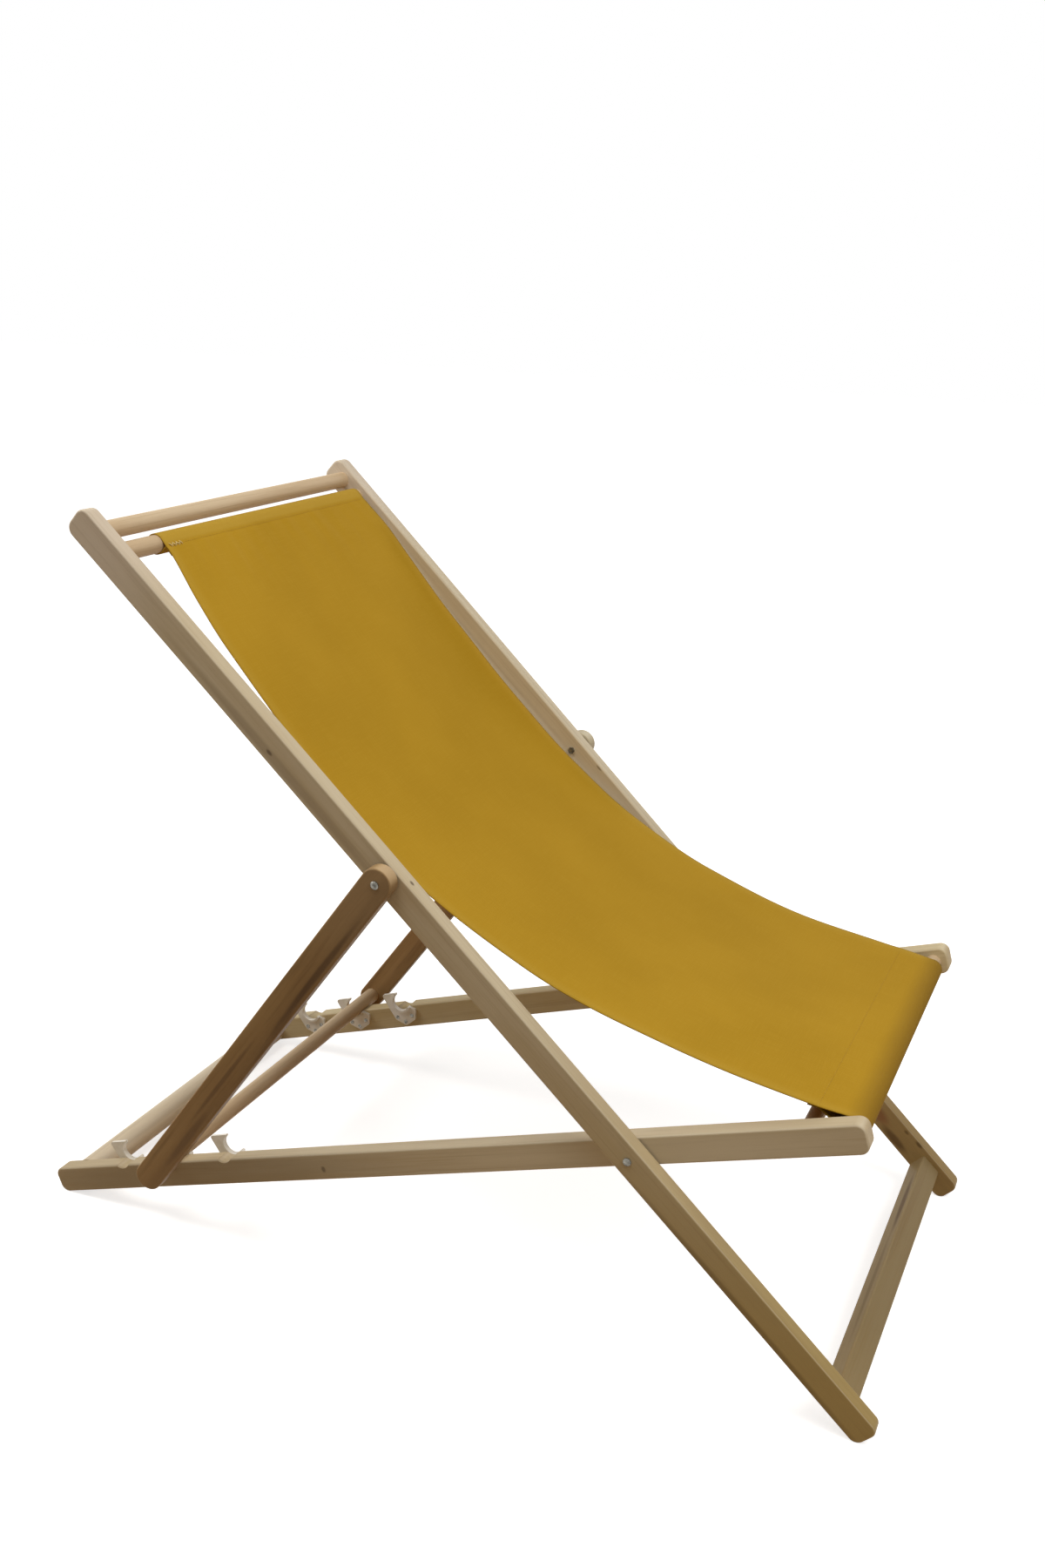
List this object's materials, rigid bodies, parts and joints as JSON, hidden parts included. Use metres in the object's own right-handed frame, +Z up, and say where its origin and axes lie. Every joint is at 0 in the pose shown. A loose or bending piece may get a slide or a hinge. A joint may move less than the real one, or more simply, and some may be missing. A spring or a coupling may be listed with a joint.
{
  "type": "folding deck chair",
  "caption": "Folding wooden deck chair with a mustard canvas sling, a prop frame in notched seat rails and white plastic hooks.",
  "frame": {"origin": "centre of the footprint on the floor, under the set-up chair", "axes": "+X the way the sitter faces, +Y the sitter's left, +Z up"},
  "size_m": [1.1156, 0.5918, 0.9079],
  "materials": {
    "rail_wood": "sanded pale hardwood, thin clear oil",
    "strut_wood": "darker brown hardwood with strong grain",
    "dowel_wood": "turned pale hardwood",
    "canvas": "plain woven mustard canvas",
    "white_plastic": "moulded off-white plastic",
    "zinc_steel": "zinc-plated steel"
  },
  "bodies": {
    "seat_frame": {"seat_rail_right": "rail_wood", "seat_rail_left": "rail_wood", "rear_stretcher": "rail_wood", "front_spreader": "dowel_wood", "sling_dowel_seat": "dowel_wood", "clip_front_right": "white_plastic", "clip_front_left": "white_plastic", "clip_middle_right": "white_plastic", "clip_middle_left": "white_plastic", "clip_rear_right": "white_plastic", "clip_rear_left": "white_plastic", "clip_screws": "zinc_steel", "cross_bolt_right": "zinc_steel", "cross_bolt_left": "zinc_steel", "cross_nut_right": "zinc_steel", "cross_nut_left": "zinc_steel", "cross_washer_right": "zinc_steel", "cross_washer_left": "zinc_steel", "sling": "canvas"},
    "back_frame": {"back_rail_right": "rail_wood", "back_rail_left": "rail_wood", "head_dowel": "dowel_wood", "sling_dowel_head": "dowel_wood", "foot_stretcher": "rail_wood", "prop_bolt_right": "zinc_steel", "prop_bolt_left": "zinc_steel", "prop_nut_right": "zinc_steel", "prop_nut_left": "zinc_steel", "prop_washer_right": "zinc_steel", "prop_washer_left": "zinc_steel"},
    "prop_frame": {"prop_strut_right": "strut_wood", "prop_strut_left": "strut_wood", "prop_dowel": "dowel_wood"}
  },
  "joints": [
    {"name": "back_lift", "type": "hinge", "parent": "seat_frame", "child": "back_frame", "pos_m": [0.25963, 0, 0.28327], "axis": [0, 1, 0], "range_deg": [0, 40], "deforming": ["sling"]},
    {"name": "prop_swing", "type": "hinge", "parent": "back_frame", "child": "prop_frame", "pos_m": [-0.03209, 0, 0.55695], "axis": [0, 1, 0], "range_deg": [-28, 0]}
  ],
  "couplings": [
    {"joint": "prop_swing", "follows": "back_lift", "ratio": -0.7}
  ]
}
